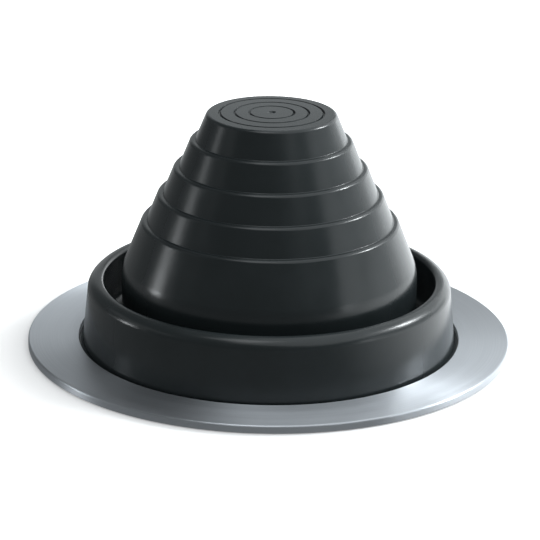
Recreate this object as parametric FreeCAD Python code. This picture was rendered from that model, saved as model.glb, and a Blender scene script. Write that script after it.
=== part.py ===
import FreeCAD, Part
import math
import os

V = FreeCAD.Vector

# Pipe flashing boot: a stepped rubber cone on a round soft aluminium base ring.
# Millimetres. +Z is up the cone's axis, z = 0 is the sealing face that lies on the roof.

# ---- driving dimensions -------------------------------------------------------------
# base
base_diameter = 204.4      # outside of the aluminium ring, about 8 in
flange_height = 3.5        # sealing face to the top of the ring
ring_thickness = 2.4       # soft aluminium, bent by hand over the roof's ribs
ring_breadth = 21.4        # from the ring's bore to its outer edge
ring_edge_round = 0.8      # top outer edge
ring_under_round = 0.3     # lower outer edge
ring_bore_round = 0.35     # top edge of the bore
ring_bore_gap = 1.6        # radial gap between the ring's bore and the skirt's foot
pad_setback = 0.6          # the rubber pad ends this much inside the ring's edge
pad_edge_round = 0.25
seal_grooves = 4           # concentric grooves under the pad, the lands between them seal
seal_groove_width = 2.4
seal_groove_depth = 0.5
seal_groove_draft = 0.3    # each groove wall leans this much over its depth

# rubber skirt and its rolled rim
rubber_wall = 2.4          # wall thickness everywhere
foot_fillet = 1.2          # where the skirt stands on the pad
skirt_taper = 5.7          # lean of the skirt from vertical, degrees
rim_height = 29.2          # crest of the roll above the sealing face
rim_width = 6.5            # across the roll, from the trough to the skirt
rim_round = 5.0            # outer shoulder of the roll
rim_inner_round = 1.9      # shoulder on the trough's side
rim_hollow_round = 0.8     # both corners under the roll
mouth_round = 0.6          # lower inner edge of the skirt

# trough between the rim and the cone
trough_width = 7.5
trough_floor = 9.0         # lowest point of the trough above the sealing face
neck_height = 33.2         # where the lowest tier meets the straight neck
neck_round = 18.0          # long, soft turn from that tier into the neck

# stepped cone
cone_height = 101.1        # closed top above the sealing face
top_diameter = 54.1        # across the closed top, to the corner before rounding
top_round = 1.8
tier_rise = 11.65          # height of each of the upper tiers
ledge_count = 4
ledge_width = 2.1
shoulder_round = 1.7       # outer edge of each ledge
ledge_root_round = 0.35    # where a ledge meets the tier above it
inner_shoulder_round = 1.2 # the same places on the inside of the wall
inner_root_round = 0.4
inner_top_round = 0.6      # under the closed top

# cutting marks in the closed top
mark_count = 3
mark_setback = 5.45        # middle of the outermost mark to the edge of the top
mark_pitch = 6.15
mark_width = 1.2
mark_depth = 0.6
centre_mark_diameter = 3.4
centre_mark_depth = 0.7

# ---- derived ------------------------------------------------------------------------
pad_top = flange_height - ring_thickness
ring_radius = base_diameter / 2.0
bore_radius = ring_radius - ring_breadth
foot_radius = bore_radius - ring_bore_gap
pad_radius = ring_radius - pad_setback
rim_radius = foot_radius - (rim_height - pad_top) * math.tan(math.radians(skirt_taper))
trough_radius = rim_radius - rim_width
neck_radius = trough_radius - trough_width
top_radius = top_diameter / 2.0
# every tier leans alike, so that tiers and ledges together reach from the top to the neck
lean = (neck_radius - top_radius - ledge_count * ledge_width) / (cone_height - neck_height)


# ---- helpers, all in the (radius, height) half plane --------------------------------
def point(rz):
    return V(rz[0], 0, rz[1])


def line(a, b):
    return Part.LineSegment(point(a), point(b)).toShape()


def arc(a, middle, b):
    return Part.Arc(point(a), point(middle), point(b)).toShape()


def run(corners):
    """Edges through (radius, height, round) corners; a round of 0 is a sharp corner."""
    edges = []
    here = V(corners[0][0], corners[0][1], 0)
    for before, corner, after in zip(corners, corners[1:], corners[2:]):
        b = V(corner[0], corner[1], 0)
        back = (V(before[0], before[1], 0) - b).normalize()
        on = (V(after[0], after[1], 0) - b).normalize()
        half = back.getAngle(on) / 2.0
        start = b + back * (corner[2] / math.tan(half))
        if (start - here).Length > 1e-6:
            edges.append(line((here.x, here.y), (start.x, start.y)))
        here = start
        if corner[2] > 0:
            here = b + on * (corner[2] / math.tan(half))
            middle = b + (back + on).normalize() * (corner[2] / math.sin(half) - corner[2])
            edges.append(arc((start.x, start.y), (middle.x, middle.y), (here.x, here.y)))
    edges.append(line((here.x, here.y), corners[-1][:2]))
    return edges


def offset(corners, distance, rounds):
    """The same chain of walls moved to its right by distance, with its own rounds."""
    walls = []
    for a, b in zip(corners, corners[1:]):
        along = V(b[0] - a[0], b[1] - a[1], 0).normalize()
        side = V(along.y, -along.x, 0) * distance
        walls.append((a[0] + side.x, a[1] + side.y, along.x, along.y))
    moved = []
    for first, second, size in zip(walls, walls[1:], rounds):
        ax, az, ux, uz = first
        bx, bz, vx, vz = second
        cross = ux * vz - uz * vx
        t = ((bx - ax) * vz - (bz - az) * vx) / cross
        moved.append((ax + ux * t, az + uz * t, size))
    return moved


def spin(edges):
    return Part.Face(Part.Wire(edges)).revolve(V(0, 0, 0), V(0, 0, 1), 360)


# ---- the outer walls, from the closed top down to the skirt's foot ------------------
radius = top_radius
height = cone_height
outside = [(0.0, height, 0.0), (radius, height, top_round)]
for ledge in range(ledge_count):
    radius += tier_rise * lean
    height -= tier_rise
    outside.append((radius, height, ledge_root_round))
    radius += ledge_width
    outside.append((radius, height, shoulder_round))
trough_round = trough_width / 2.0
outside += [
    (neck_radius, neck_height, neck_round),
    (neck_radius, trough_floor, trough_round),
    (trough_radius, trough_floor, trough_round),
    (trough_radius, rim_height, rim_inner_round),
    (rim_radius, rim_height, rim_round),
    (foot_radius, pad_top, foot_fillet),
]

# the inner walls run parallel to the outer ones, one wall thickness in
rounds = [inner_top_round]
rounds += [inner_shoulder_round, inner_root_round] * ledge_count
rounds += [neck_round - rubber_wall]
rounds += [trough_round + rubber_wall] * 2
rounds += [rim_hollow_round] * 2
inside = offset(outside, rubber_wall, rounds)
last = outside[-1]
slide = (last[0] - rim_radius) / (rim_height - pad_top)
mouth_radius = inside[-1][0] + inside[-1][1] * slide

# ---- closed top with its cutting marks, from the dimple at the centre outwards ------
half_centre = centre_mark_diameter / 2.0
dimple_round = (half_centre ** 2 + centre_mark_depth ** 2) / (2.0 * centre_mark_depth)
dimple_height = cone_height - centre_mark_depth + dimple_round
part_way = math.asin(half_centre / dimple_round) / 2.0
edges = [arc((0.0, cone_height - centre_mark_depth),
             (dimple_round * math.sin(part_way), dimple_height - dimple_round * math.cos(part_way)),
             (half_centre, cone_height))]
here = half_centre
for mark in reversed(range(mark_count)):
    middle = top_radius - mark_setback - mark * mark_pitch
    edges.append(line((here, cone_height), (middle - mark_width / 2.0, cone_height)))
    here = middle + mark_width / 2.0
    edges.append(arc((middle - mark_width / 2.0, cone_height),
                     (middle, cone_height - mark_depth), (here, cone_height)))

# ---- down the outside, over the pad and back along the grooved sealing face ---------
section = [(here, cone_height, 0.0)] + outside[1:]
section += [(pad_radius, pad_top, pad_edge_round), (pad_radius, 0.0, pad_edge_round)]
pitch = (pad_radius - bore_radius) / seal_grooves
for groove in range(seal_grooves):
    middle = pad_radius - pitch * (groove + 0.5)
    half = seal_groove_width / 2.0
    section += [
        (middle + half, 0.0, 0.0),
        (middle + half - seal_groove_draft, seal_groove_depth, 0.0),
        (middle - half + seal_groove_draft, seal_groove_depth, 0.0),
        (middle - half, 0.0, 0.0),
    ]

# ---- up the inside of the skirt, round the trough and up the cone -------------------
section.append((mouth_radius, 0.0, mouth_round))
section += inside[::-1]
section.append((0.0, cone_height - rubber_wall, 0.0))
edges += run(section)
edges.append(line((0.0, cone_height - rubber_wall), (0.0, cone_height - centre_mark_depth)))
rubber_boot = spin(edges)

# ---- aluminium base ring, lying on the pad round the skirt's foot --------------------
half_way = (bore_radius, pad_top + ring_thickness / 2.0, 0.0)
base_ring = spin(run([
    half_way,
    (bore_radius, flange_height, ring_bore_round),
    (ring_radius, flange_height, ring_edge_round),
    (ring_radius, pad_top, ring_under_round),
    (bore_radius, pad_top, 0.0),
    half_way,
]))

# ---- output -------------------------------------------------------------------------
os.makedirs("parts", exist_ok=True)
for name, shape in (("rubber_boot", rubber_boot), ("base_ring", base_ring)):
    print(name, shape.ShapeType, shape.isValid(), round(shape.Volume / 1000.0, 2), "cm3")
    shape.exportStep("parts/" + name + ".step")
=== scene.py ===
# %% [markdown]
# # Pipe flashing boot
#
# A roofer slides this over a vent pipe and screws it to a metal roof, so that rain runs round
# the hole. It has two pieces: one moulding in black EPDM rubber, and a flat ring of soft
# aluminium bonded on top of the moulding's thin foot. The rubber cone is stepped, because the
# roofer cuts it off at the step that suits the pipe. Everything on it is round about one axis,
# so nearly every shape here is a small section spun about Z.

# %% Load the frame
import math

import bmesh
import bpy
from mathutils import Matrix, Vector


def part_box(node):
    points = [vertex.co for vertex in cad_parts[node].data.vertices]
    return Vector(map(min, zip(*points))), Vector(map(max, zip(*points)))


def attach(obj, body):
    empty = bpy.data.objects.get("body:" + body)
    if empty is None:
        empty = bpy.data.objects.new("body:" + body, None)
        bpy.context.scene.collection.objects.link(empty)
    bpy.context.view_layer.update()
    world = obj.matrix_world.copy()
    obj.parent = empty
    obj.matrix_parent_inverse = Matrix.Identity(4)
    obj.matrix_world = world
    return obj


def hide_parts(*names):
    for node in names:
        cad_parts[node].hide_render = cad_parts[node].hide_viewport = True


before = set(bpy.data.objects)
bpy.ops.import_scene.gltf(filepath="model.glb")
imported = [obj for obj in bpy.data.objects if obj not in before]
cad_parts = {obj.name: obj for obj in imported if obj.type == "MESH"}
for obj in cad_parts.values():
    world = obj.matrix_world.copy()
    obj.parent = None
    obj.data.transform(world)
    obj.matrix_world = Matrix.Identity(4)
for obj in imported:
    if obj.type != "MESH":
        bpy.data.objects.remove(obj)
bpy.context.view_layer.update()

# %% [markdown]
# ## Helpers for finishes
#
# Colours are chosen as sRGB hex values, the way a colour chart gives them, and one function
# turns them into the linear values that a renderer adds up. A second function adds a shader
# node: its own settings, the values of its sockets and the links into it, in one call.

# %% Colour and node helpers
MM = 0.001


def linear(hex_colour):
    """An sRGB hex colour such as 1C1E20 as linear red, green, blue and alpha."""
    channels = [int(hex_colour[i:i + 2], 16) / 255 for i in (0, 2, 4)]
    return [c / 12.92 if c <= 0.04045 else ((c + 0.055) / 1.055) ** 2.4 for c in channels] + [1]


def add(tree, kind, values=None, links=None, **settings):
    """Adds one shader node with its settings, its socket values and the links into it."""
    node = tree.nodes.new(kind)
    for name, value in settings.items():
        setattr(node, name, value)
    for socket, value in (values or {}).items():
        node.inputs[socket].default_value = value
    for socket, source in (links or {}).items():
        tree.links.new(source, node.inputs[socket])
    return node


def new_material(name):
    """A material with an empty node tree, and that tree."""
    material = bpy.data.materials.new(name)
    material.use_nodes = True
    material.node_tree.nodes.clear()
    return material, material.node_tree


print("mid grey 808080 in linear light:", round(linear("808080")[0], 3))

# %% [markdown]
# ## The rubber's finish
#
# The real piece is EPDM, a black synthetic rubber, compression moulded in a smooth steel
# mould. Fresh from the mould it has a satin gloss: reflections of lamps are clear but soft at
# the edge. The steel leaves a very fine grain, and the sheet draws out a little as it is
# pulled off the core, which shows as faint upright waves in the reflections. The colour is a
# cold near black. A dielectric with an IOR of 1.5 gives the four percent mirror that
# makes its sides pale where they turn away from the eye.

# %% Moulded EPDM
GRAIN = 0.9 * MM        # mould grain, drawn coarser than the real 0.1 mm so that it shows
WAVE = 9.0 * MM         # width of the upright waves
DUST = 14.0 * MM        # patches where handling has dulled the surface


def moulded_epdm():
    material, tree = new_material("moulded_epdm_rubber")
    place = add(tree, "ShaderNodeTexCoord").outputs["Object"]
    patches = add(tree, "ShaderNodeTexNoise", {"Scale": 1 / DUST, "Detail": 3.0}, {"Vector": place})
    colour = add(tree, "ShaderNodeMix", data_type="RGBA", links={0: patches.outputs["Fac"]})
    colour.inputs[6].default_value = linear("272D2E")
    colour.inputs[7].default_value = linear("2E3436")
    sheen = add(tree, "ShaderNodeMapRange",
                {"From Min": 0.3, "From Max": 0.7, "To Min": 0.21, "To Max": 0.26},
                {"Value": patches.outputs["Fac"]})
    grain = add(tree, "ShaderNodeTexNoise", {"Scale": 1 / GRAIN, "Detail": 2.0}, {"Vector": place})
    drawn = add(tree, "ShaderNodeMapping", {"Scale": (1.0, 1.0, 0.12)}, {"Vector": place})
    waves = add(tree, "ShaderNodeTexNoise", {"Scale": 1 / WAVE, "Detail": 1.0},
                {"Vector": drawn.outputs["Vector"]})
    fine = add(tree, "ShaderNodeBump", {"Strength": 0.10, "Distance": 0.05 * MM},
               {"Height": grain.outputs["Fac"]})
    both = add(tree, "ShaderNodeBump", {"Strength": 0.35, "Distance": 0.12 * MM},
               {"Height": waves.outputs["Fac"], "Normal": fine.outputs["Normal"]})
    rubber = add(tree, "ShaderNodeBsdfPrincipled", {"IOR": 1.5},
                 {"Base Color": colour.outputs[2], "Roughness": sheen.outputs["Result"],
                  "Normal": both.outputs["Normal"]})
    add(tree, "ShaderNodeOutputMaterial", links={"Surface": rubber.outputs["BSDF"]})
    return material


EPDM = moulded_epdm()
print("made", EPDM.name, "with", len(EPDM.node_tree.nodes), "nodes")

# %% [markdown]
# ## The ring's finish
#
# The ring is stamped from soft aluminium sheet and linished on a turntable, so its grain runs
# round it. Grooves finer than the eye can see spread each lamp across the grain: that is why a
# ring like this has bright and dark sectors, as a saucepan lid has. Rings of noise give the
# grain that shows, and the shader's anisotropy, turned along the grain, gives the sectors.

# %% Linished aluminium
RING_GRAIN = 0.35 * MM   # spacing of the finer scratches that show
RING_BANDS = 2.6 * MM    # broader, fainter bands of the turning


def linished_aluminium():
    material, tree = new_material("linished_aluminium")
    place = add(tree, "ShaderNodeTexCoord").outputs["Object"]
    flat = add(tree, "ShaderNodeVectorMath", {1: (1, 1, 0)}, {0: place}, operation="MULTIPLY")
    radius = add(tree, "ShaderNodeVectorMath", {}, {0: flat.outputs[0]}, operation="LENGTH")
    turn = add(tree, "ShaderNodeCombineXYZ", links={"X": radius.outputs["Value"]})
    drift = add(tree, "ShaderNodeVectorMath", {"Scale": 0.006}, {0: place}, operation="SCALE")
    track = add(tree, "ShaderNodeVectorMath", {}, {0: turn.outputs[0], 1: drift.outputs[0]},
                operation="ADD")
    scratches = add(tree, "ShaderNodeTexNoise", {"Scale": 1 / RING_GRAIN, "Detail": 3.0},
                    {"Vector": track.outputs[0]})
    bands = add(tree, "ShaderNodeTexNoise", {"Scale": 1 / RING_BANDS, "Detail": 2.0},
                {"Vector": track.outputs[0]})
    colour = add(tree, "ShaderNodeMix", data_type="RGBA", links={0: scratches.outputs["Fac"]})
    colour.inputs[6].default_value = linear("CCD1D7")
    colour.inputs[7].default_value = linear("DCE0E5")
    satin = add(tree, "ShaderNodeMapRange",
                {"From Min": 0.3, "From Max": 0.7, "To Min": 0.37, "To Max": 0.43},
                {"Value": bands.outputs["Fac"]})
    relief = add(tree, "ShaderNodeBump", {"Strength": 0.15, "Distance": 0.02 * MM},
                 {"Height": scratches.outputs["Fac"]})
    along = add(tree, "ShaderNodeTangent", direction_type="RADIAL", axis="Z")
    metal = add(tree, "ShaderNodeBsdfPrincipled",
                {"Metallic": 1.0, "Anisotropic": 0.9, "Anisotropic Rotation": 0.25},
                {"Base Color": colour.outputs[2], "Roughness": satin.outputs["Result"],
                 "Normal": relief.outputs["Normal"], "Tangent": along.outputs["Tangent"]})
    add(tree, "ShaderNodeOutputMaterial", links={"Surface": metal.outputs["BSDF"]})
    return material


ALUMINIUM = linished_aluminium()
print("made", ALUMINIUM.name, "with", len(ALUMINIUM.node_tree.nodes), "nodes")

# %% [markdown]
# ## Helpers for turned shapes
#
# A body of revolution can be lathed with a Screw modifier, or spun with bmesh. Spinning is
# chosen because the section stays visible as a short list of corners: radius, height and the
# round at that corner, in millimetres. The section is drawn as a wire, each corner is rounded
# with a vertex bevel, and the wire is spun once round Z. Points that lie on the axis fall
# together into a pole, so doubles are merged and the faces turned outwards again.

# %% Section and spin helpers
AROUND = 240             # segments round the axis
SMALL_STEP = 18          # degrees of turn for each segment of a small round
LARGE_STEP = 7           # the same for a round over 1 mm
MERGE = 0.002 * MM       # points nearer than this become one
SHARP = math.radians(40)


def turn_at(before, corner, after):
    """How many radians a section turns at a corner."""
    first = Vector(corner[:2]) - Vector(before[:2])
    second = Vector(after[:2]) - Vector(corner[:2])
    return first.angle(second)


def section_wire(corners, closed):
    """A bmesh wire through (radius, height, round) corners, with its corners rounded."""
    wire = bmesh.new()
    points = [wire.verts.new((r * MM, 0, z * MM)) for r, z, _ in corners]
    for a, b in zip(points, points[1:] + points[:1] if closed else points[1:]):
        wire.edges.new((a, b))
    last = len(corners)
    for i, (r, z, size) in enumerate(corners):
        if size == 0:
            continue
        bend = turn_at(corners[i - 1], corners[i], corners[(i + 1) % last])
        step = LARGE_STEP if size > 1 else SMALL_STEP
        bmesh.ops.bevel(wire, geom=[points[i]], offset=size * MM * math.tan(bend / 2),
                        offset_type="OFFSET", affect="VERTICES", profile=0.5, material=-1,
                        segments=max(2, math.ceil(math.degrees(bend) / step)))
    bmesh.ops.remove_doubles(wire, verts=wire.verts, dist=MERGE)
    return wire


def spun(name, corners, material, closed=True):
    """The object that a section sweeps out in one turn about Z."""
    body = section_wire(corners, closed)
    bmesh.ops.spin(body, geom=body.verts[:] + body.edges[:], cent=(0, 0, 0), axis=(0, 0, 1),
                   angle=math.tau, steps=AROUND, use_merge=True)
    bmesh.ops.remove_doubles(body, verts=body.verts, dist=MERGE)
    bmesh.ops.recalc_face_normals(body, faces=body.faces)
    return finished(name, body, material)


def finished(name, body, material):
    """Turns a bmesh into a smooth-shaded object with sharp corners kept sharp."""
    mesh = bpy.data.meshes.new(name)
    body.to_mesh(mesh)
    body.free()
    mesh.shade_smooth()
    mesh.set_sharp_from_angle(angle=SHARP)
    piece = bpy.data.objects.new(name, mesh)
    bpy.context.scene.collection.objects.link(piece)
    mesh.materials.append(material)
    flats_first = piece.modifiers.new("flat_walls_shade_flat", "WEIGHTED_NORMAL")
    flats_first.keep_sharp = True
    flats_first.weight = 100
    print("made", name, "with", len(mesh.polygons), "faces")
    return piece


# %% [markdown]
# ## Sizes of the moulding
#
# The base and the height come from the solids. The other sizes are the boot's own: four
# ledges 11.65 mm apart, walls that all lean alike, and rubber 2.4 mm thick throughout. The
# tier below the last ledge runs down to a straight neck as wide as the largest pipe, and turns
# into it so gently that its lamp reflections fade out instead of ending at a line.

# %% Measures in millimetres
pad_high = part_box("rubber_boot")[1] / MM
ring_low, ring_high = [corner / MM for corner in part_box("base_ring")]
CONE_TOP = pad_high.z
PAD_RADIUS = pad_high.x
PAD_TOP = ring_low.z
RING_RADIUS = ring_high.x
RING_TOP = ring_high.z
RING_BORE = 80.8

WALL = 2.4
TOP_RADIUS = 27.05
RISE = 11.65
LEDGES = 4
LEDGE = 2.1
NECK = 62.4
NECK_HEIGHT = 33.2       # where the lowest tier turns, softly, into the straight neck
NECK_ROUND = 18.0
TROUGH_FLOOR = 9.0
RIM_INNER = 69.9
RIM_CORNER = 76.4        # where the crest's level meets the line of the skirt
RIM_CREST = 29.2
FOOT = 79.2
LEAN = (NECK - TOP_RADIUS - LEDGES * LEDGE) / (CONE_TOP - NECK_HEIGHT)
print("height", round(CONE_TOP, 1), "pad radius", round(PAD_RADIUS, 1),
      "pad top", round(PAD_TOP, 2))

# %% [markdown]
# ## The stepped cone's outline
#
# Read from the centre of the closed top outwards, the outline first dips into the centre mark
# and the three rings that the roofer's knife follows. Then each tier is one leaning line and
# one level ledge. A loop writes them, because the tiers repeat. The inside of the wall runs
# parallel, so it is worked out from the outside: each corner moves to where the two shifted
# walls cross.

# %% Outline of the cone
MARKS = (9.3, 15.4, 21.6)
MARK_WIDTH = 1.1
MARK_DEPTH = 0.9
CENTRE_MARK = 1.8        # radius of the mark in the middle
CENTRE_DEPTH = 0.7
CROWN = 0.35             # how much the closed top rises from its edge to its centre
TOP_ROUND = 1.8
ROOT_ROUND = 0.35        # where a ledge meets the tier above it
SHOULDER_ROUND = 1.7     # outer edge of each ledge


def crown(radius):
    """Height of the closed top, which is very slightly domed."""
    return CONE_TOP - CROWN * (radius / TOP_RADIUS) ** 2


def marks_on_top():
    """Centre mark and cutting rings, from the axis outwards."""
    corners = [(0, CONE_TOP - CENTRE_DEPTH, 0), (1.0, CONE_TOP - 0.6, 0.4),
               (CENTRE_MARK, crown(CENTRE_MARK), 0.3)]
    for ring in MARKS:
        half = MARK_WIDTH / 2
        corners += [(ring - half, crown(ring - half), 0),
                    (ring - half / 3, crown(ring) - MARK_DEPTH, 0.1),
                    (ring + half / 3, crown(ring) - MARK_DEPTH, 0.1),
                    (ring + half, crown(ring + half), 0)]
    return corners


def tiers():
    """Edge of the closed top, then the root and the shoulder of each ledge, then the neck."""
    radius, height = TOP_RADIUS, CONE_TOP
    corners = [(radius, crown(radius), TOP_ROUND)]
    for _ in range(LEDGES):
        radius += RISE * LEAN
        height -= RISE
        corners.append((radius, height, ROOT_ROUND))
        radius += LEDGE
        corners.append((radius, height, SHOULDER_ROUND))
    corners.append((NECK, NECK_HEIGHT, NECK_ROUND))
    return corners


def inside_of(before, corner, after, size):
    """A corner moved in by the wall's thickness, to where the two shifted walls cross."""
    first = (Vector(corner[:2]) - Vector(before[:2])).normalized()
    second = (Vector(after[:2]) - Vector(corner[:2])).normalized()
    middle = Vector((first.y + second.y, -first.x - second.x)).normalized()
    half = first.angle(second) / 2
    moved = Vector(corner[:2]) + middle * WALL / math.cos(half)
    return (moved.x, moved.y, size)


cone = tiers()
print("ledge shoulders, mm:", [(round(r, 1), round(z, 1)) for r, z, _ in cone[2::2]])

# %% [markdown]
# ## The moulding
#
# From the neck the rubber goes down into a trough, back up, over the rolled rim and down the
# skirt to the pad. That fold lets the cone tilt and stretch when the pipe moves. The pad is
# thin, and its underside has four grooves, so that the lands between them press hard on the
# sealant. The inside follows back up to the centre, and one spin makes the whole piece.

# %% Spin the moulding
RIM_ROUND = 5.0          # outer shoulder of the rolled rim
RIM_INNER_ROUND = 1.9
RIM_HOLLOW_ROUND = 0.8   # both corners under the roll
FOOT_FILLET = 1.2
PAD_ROUND = 0.25
MOUTH_ROUND = 0.6        # lower inner edge of the skirt
INNER_TOP_ROUND = 0.6    # under the closed top
INNER_SHOULDER_ROUND = 1.2
INNER_ROOT_ROUND = 0.4
trough = (RIM_INNER - NECK) / 2
outside = marks_on_top() + cone
outside += [(NECK, TROUGH_FLOOR, trough), (RIM_INNER, TROUGH_FLOOR, trough),
            (RIM_INNER, RIM_CREST, RIM_INNER_ROUND), (RIM_CORNER, RIM_CREST, RIM_ROUND),
            (FOOT, PAD_TOP, FOOT_FILLET), (PAD_RADIUS, PAD_TOP, PAD_ROUND),
            (PAD_RADIUS, 0, PAD_ROUND)]

GROOVES = 4
GROOVE_MOUTH = 1.2       # half the width of a groove at the pad's face
GROOVE_ROOF = 0.9        # and at its roof
GROOVE_DEPTH = 0.5
groove_pitch = (PAD_RADIUS - RING_BORE) / GROOVES
under = []
for i in range(GROOVES):
    middle = PAD_RADIUS - groove_pitch * (i + 0.5)
    under += [(middle + GROOVE_MOUTH, 0, 0), (middle + GROOVE_ROOF, GROOVE_DEPTH, 0),
              (middle - GROOVE_ROOF, GROOVE_DEPTH, 0), (middle - GROOVE_MOUTH, 0, 0)]

fold = outside[-7:-1]
wall = cone[-1:] + fold
fold_rounds = [trough + WALL] * 2 + [RIM_HOLLOW_ROUND] * 2
inner = [inside_of(a, b, c, s) for a, b, c, s in zip(wall, wall[1:], wall[2:], fold_rounds)]
slope = (FOOT - RIM_CORNER) / (RIM_CREST - PAD_TOP)
mouth = (inner[3][0] + slope * inner[3][1], 0, MOUTH_ROUND)
cone_walls = [(0, CONE_TOP, 0)] + cone + [(NECK, TROUGH_FLOOR, 0)]
rounds = [INNER_TOP_ROUND] + [INNER_SHOULDER_ROUND, INNER_ROOT_ROUND] * LEDGES
rounds += [NECK_ROUND - WALL]
inner_cone = [inside_of(a, b, c, s) for a, b, c, s in zip(
    cone_walls, cone_walls[1:], cone_walls[2:], rounds)]
section = outside + under + [mouth] + inner[::-1] + inner_cone[::-1] + [(0, CONE_TOP - WALL, 0)]
boot = spun("boot_moulding", section, EPDM, closed=False)
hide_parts("rubber_boot")
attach(boot, "root")

# %% [markdown]
# ## The ring
#
# A flat washer with a big hole. Its top outer edge is well rounded, where the sheet was
# tumbled to take off the burr, and that edge catches a line of light all the way round. Its
# outer edge is given a thin turned-down lip, so that the side shows metal nearly down to the
# roof and the rubber pad stays out of sight. The lip is a guess: only its metal side is known.

# %% Spin the ring
LIP_CLEAR = 0.05         # between the lip and the side of the pad
LIP_BOTTOM = 0.3
BORE_ROUND = 0.35
EDGE_ROUND = 0.8         # top outer edge
LIP_ROUND = 0.2
lip_inside = PAD_RADIUS + LIP_CLEAR
ring_section = [(RING_BORE, PAD_TOP, 0), (RING_BORE, RING_TOP, BORE_ROUND),
                (RING_RADIUS, RING_TOP, EDGE_ROUND), (RING_RADIUS, LIP_BOTTOM, LIP_ROUND),
                (lip_inside, LIP_BOTTOM, 0), (lip_inside, PAD_TOP, 0)]
ring = spun("base_plate", ring_section, ALUMINIUM)
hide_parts("base_ring")
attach(ring, "root")

# %% [markdown]
# ## Floor and room
#
# Black rubber has hardly any colour of its own: what shapes it is what it mirrors. So the stage
# is made in two layers, and they don't match. The camera sees white paper that glows, with the
# boot's own shadow on it; the glow is weaker near the foot and full farther out, so the shadow
# shows close to the boot and is painted out beyond. Reflections and bounce light see a dimmer
# stage: a floor whose painted glow is bright on the right and dim on the left, standing in for
# lamplight, a pale sweep behind, and a dark room all round. In true white paper the dark rubber
# would turn grey and the ring nearly white. The Light Path node tells the two apart.

# %% Floor and world
COOL_WHITE = (0.94, 0.98, 1.0)
BRIGHT_SIDE = (0.82, 0.57, 0)    # towards the part where the floor's painted glow is brightest
FLOOR_DIM = 0.2                  # painted glow of the floor, for every ray but the camera's, away from that side
FLOOR_BRIGHT = 2.0               # and towards it; white paper is 1
SWEEP = (-0.05, 0.99, 0.13)      # towards the middle of the paper sweep, behind and low
ROOM_GLOW = (0.12, 0.125, 0.127, 1)      # the room, for every ray but the camera's
SWEEP_GLOW = (0.48, 0.505, 0.515, 1)     # the sweep, for glossy and transmission rays
FLOOR_SIZE = 6.0
FLOOR_GAP = 0.05 * MM            # keeps the floor from touching the pad


def glowing_floor():
    """Glowing paper: white to the camera but dimmer by the foot, and a painted glow, brightest on
    the right, to other rays.
    """
    material, tree = new_material("glowing_floor_paper")
    place = add(tree, "ShaderNodeTexCoord").outputs["Object"]
    direction = add(tree, "ShaderNodeVectorMath", {}, {0: place}, operation="NORMALIZE")
    side = add(tree, "ShaderNodeVectorMath", {1: BRIGHT_SIDE}, {0: direction.outputs[0]},
               operation="DOT_PRODUCT")
    # Painted light: for every ray but the camera's the floor emits 0.2 on the left, rising to 2 on
    # the right, in place of lamplight on it.
    floor_glow_level = add(tree, "ShaderNodeMapRange", {"From Min": -0.1, "From Max": 1.0,
              "To Min": FLOOR_DIM, "To Max": FLOOR_BRIGHT}, {"Value": side.outputs["Value"]},
              interpolation_type="SMOOTHSTEP")
    painted_floor_glow = add(tree, "ShaderNodeEmission", {"Color": (*COOL_WHITE, 1)},
                    {"Strength": floor_glow_level.outputs["Result"]})
    paper = add(tree, "ShaderNodeBsdfDiffuse", {"Color": linear("F4F4F4")})
    # Painted light: the paper's glow to the camera is 0.27 at the foot and full from 15 cm out, so
    # the boot's shadow shows near it and is painted out farther away.
    reach = add(tree, "ShaderNodeVectorMath", {}, {0: place}, operation="LENGTH")
    painted_fill_ramp = add(tree, "ShaderNodeMapRange", {"From Min": 0.102, "From Max": 0.15, "To Min": 0.27,
               "To Max": 1.0}, {"Value": reach.outputs["Value"]})
    painted_fill_glow = add(tree, "ShaderNodeEmission", {"Color": (1, 1, 1, 1)},
               {"Strength": painted_fill_ramp.outputs["Result"]})
    seen = add(tree, "ShaderNodeAddShader", {}, {0: paper.outputs[0], 1: painted_fill_glow.outputs[0]})
    ray = add(tree, "ShaderNodeLightPath")
    pick = add(tree, "ShaderNodeMixShader", {}, {0: ray.outputs["Is Camera Ray"],
               1: painted_floor_glow.outputs[0], 2: seen.outputs[0]})
    add(tree, "ShaderNodeOutputMaterial", links={"Surface": pick.outputs[0]})
    return material


sheet = bmesh.new()
bmesh.ops.create_grid(sheet, x_segments=1, y_segments=1, size=FLOOR_SIZE)
bmesh.ops.translate(sheet, verts=sheet.verts, vec=(0, 0, -FLOOR_GAP))
floor_mesh = bpy.data.meshes.new("floor")
sheet.to_mesh(floor_mesh)
sheet.free()
floor = bpy.data.objects.new("floor", floor_mesh)
bpy.context.scene.collection.objects.link(floor)
floor_mesh.materials.append(glowing_floor())

world = bpy.data.worlds.new("studio")
bpy.context.scene.world = world
world.use_nodes = True
air = world.node_tree
air.nodes.clear()
ray = add(air, "ShaderNodeLightPath")
mirrored = add(air, "ShaderNodeMath", {}, {0: ray.outputs["Is Glossy Ray"],
               1: ray.outputs["Is Transmission Ray"]}, operation="MAXIMUM")
towards = add(air, "ShaderNodeTexCoord").outputs["Generated"]
behind = add(air, "ShaderNodeVectorMath", {1: SWEEP}, {0: towards}, operation="DOT_PRODUCT")
sweep = add(air, "ShaderNodeMapRange", {"From Min": 0.89, "From Max": 0.985, "To Min": 0.0,
            "To Max": 1.0}, {"Value": behind.outputs["Value"]}, interpolation_type="SMOOTHSTEP")
shown = add(air, "ShaderNodeMath", {}, {0: mirrored.outputs[0], 1: sweep.outputs["Result"]},
            operation="MULTIPLY")
room = add(air, "ShaderNodeMix", data_type="RGBA", links={0: shown.outputs[0]})
room.inputs[6].default_value = ROOM_GLOW
room.inputs[7].default_value = SWEEP_GLOW
sky = add(air, "ShaderNodeMix", data_type="RGBA",
          links={0: ray.outputs["Is Camera Ray"], 6: room.outputs[2]})
sky.inputs[7].default_value = (1, 1, 1, 1)
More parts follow.
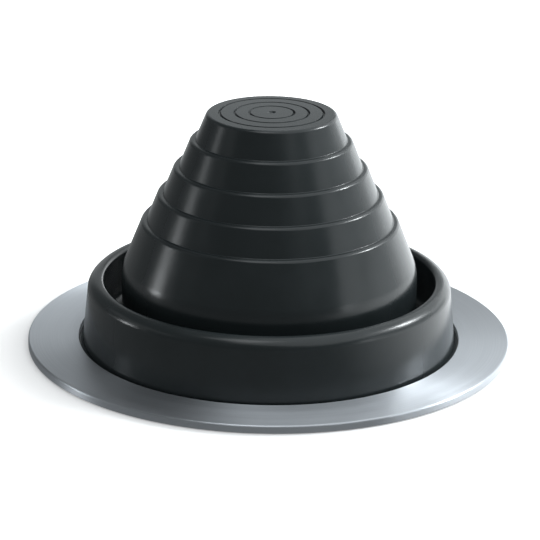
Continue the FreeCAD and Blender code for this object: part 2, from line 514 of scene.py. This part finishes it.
light = add(air, "ShaderNodeBackground", {"Strength": 1.0}, {"Color": sky.outputs[2]})
add(air, "ShaderNodeOutputWorld", links={"Surface": light.outputs[0]})
print("floor and world ready")


# %% [markdown]
# ## Soft boxes
#
# Each lamp is a lit rectangle that fills a patch of the room, given by the directions it spans
# as seen from the boot. Its power follows from its area and its glow, so a glow of 1 always
# looks as bright as white paper, whatever the lamp's size. A narrow strip on the left draws one
# upright line on every tier. The right side is lit in steps that grow brighter towards the
# back, and a small key high on the right gives the sparks on the rounded shoulders.

# %% Soft box helper
LAMP_DISTANCE = 2.0
MID_HEIGHT = Vector((0, 0, 0.05))        # halfway up the boot, which the lamps face


def softbox(name, azimuths, elevations, glow):
    """A lamp 2 m away that fills a patch of the room. Azimuth 0 is in front and 90 on the right."""
    a = math.radians(sum(azimuths) / 2)
    e = math.radians(sum(elevations) / 2)
    towards = Vector((math.sin(a) * math.cos(e), -math.cos(a) * math.cos(e), math.sin(e)))
    half_width = math.radians(azimuths[1] - azimuths[0]) / 2 * math.cos(e)
    half_height = math.radians(elevations[1] - elevations[0]) / 2
    lamp = bpy.data.lights.new(name, "AREA")
    lamp.shape = "RECTANGLE"
    lamp.color = COOL_WHITE
    lamp.size = 2 * LAMP_DISTANCE * math.tan(half_width)
    lamp.size_y = 2 * LAMP_DISTANCE * math.tan(half_height)
    lamp.energy = glow * math.pi * lamp.size * lamp.size_y
    holder = bpy.data.objects.new(name, lamp)
    aim = (-towards).to_track_quat("-Z", "Y").to_matrix().to_4x4()
    holder.matrix_world = Matrix.Translation(towards * LAMP_DISTANCE + MID_HEIGHT) @ aim
    holder.visible_camera = False
    bpy.context.scene.collection.objects.link(holder)
    return holder


print("one lamp reaches the boot from", LAMP_DISTANCE, "m")

# %% Lamps
# left side: a dim bank high up, and the narrow strip, brighter at its foot
softbox("left_high", (-122, -62), (20, 34), 0.25)
softbox("left_strip", (-99, -91), (-3, 20), 1.6)
softbox("left_strip_foot", (-99, -91), (-3, 8), 7.5)
# right side, from the front round to the back
softbox("right_streak_edge", (58, 63), (-3, 14), 2.5)
softbox("right_streak", (60, 80), (-3, 20), 1.1)
softbox("right_low", (80, 100), (-3, 10), 1.35)
softbox("right_mid", (80, 122), (10, 20), 0.6)
softbox("right_back_low", (100, 140), (-3, 10), 0.95)
softbox("right_upper", (60, 100), (20, 45), 0.45)
# behind
softbox("back_low", (140, 175), (-3, 10), 1.8)
softbox("back_right_panel", (120, 160), (10, 20), 1.8)
softbox("back_right_upper", (120, 165), (20, 32), 0.9)
softbox("back_upper", (126, 190), (32, 45), 1.1)
# the key light with its broad glow, and the light from above
softbox("wide_key", (92, 124), (22, 44), 3.6)
softbox("key", (103, 112), (30, 39), 46.0)
softbox("overhead", (-35, 187), (33, 101), 0.85)
softbox("zenith_left", (-90, 0), (65, 88), 1.5)

# %% [markdown]
# ## Camera
#
# A long lens from a little above, as catalogue pictures are taken, so that the rings of the
# boot show as even ellipses. The camera stands in front of the boot, looks down about twenty
# degrees and is rolled a hair to one side.

# %% Camera
SIGHT = math.radians(19.556)
ROLL = math.radians(0.825)
DISTANCE = 1.08206
AIM = Vector((0.00019, 0, 0.0317))
lens = bpy.data.cameras.new("catalogue_camera")
lens.sensor_width = 36
lens.lens = 170.46
camera = bpy.data.objects.new("catalogue_camera", lens)
back = Vector((0, -math.cos(SIGHT), math.sin(SIGHT)))
look = (-back).to_track_quat("-Z", "Y").to_matrix().to_4x4()
camera.matrix_world = (Matrix.Translation(AIM + back * DISTANCE) @ look
                       @ Matrix.Rotation(ROLL, 4, "Z"))
bpy.context.scene.collection.objects.link(camera)
bpy.context.scene.camera = camera
bpy.context.scene.view_settings.view_transform = "Standard"
print("camera", [round(v, 3) for v in camera.location], "lens", lens.lens)
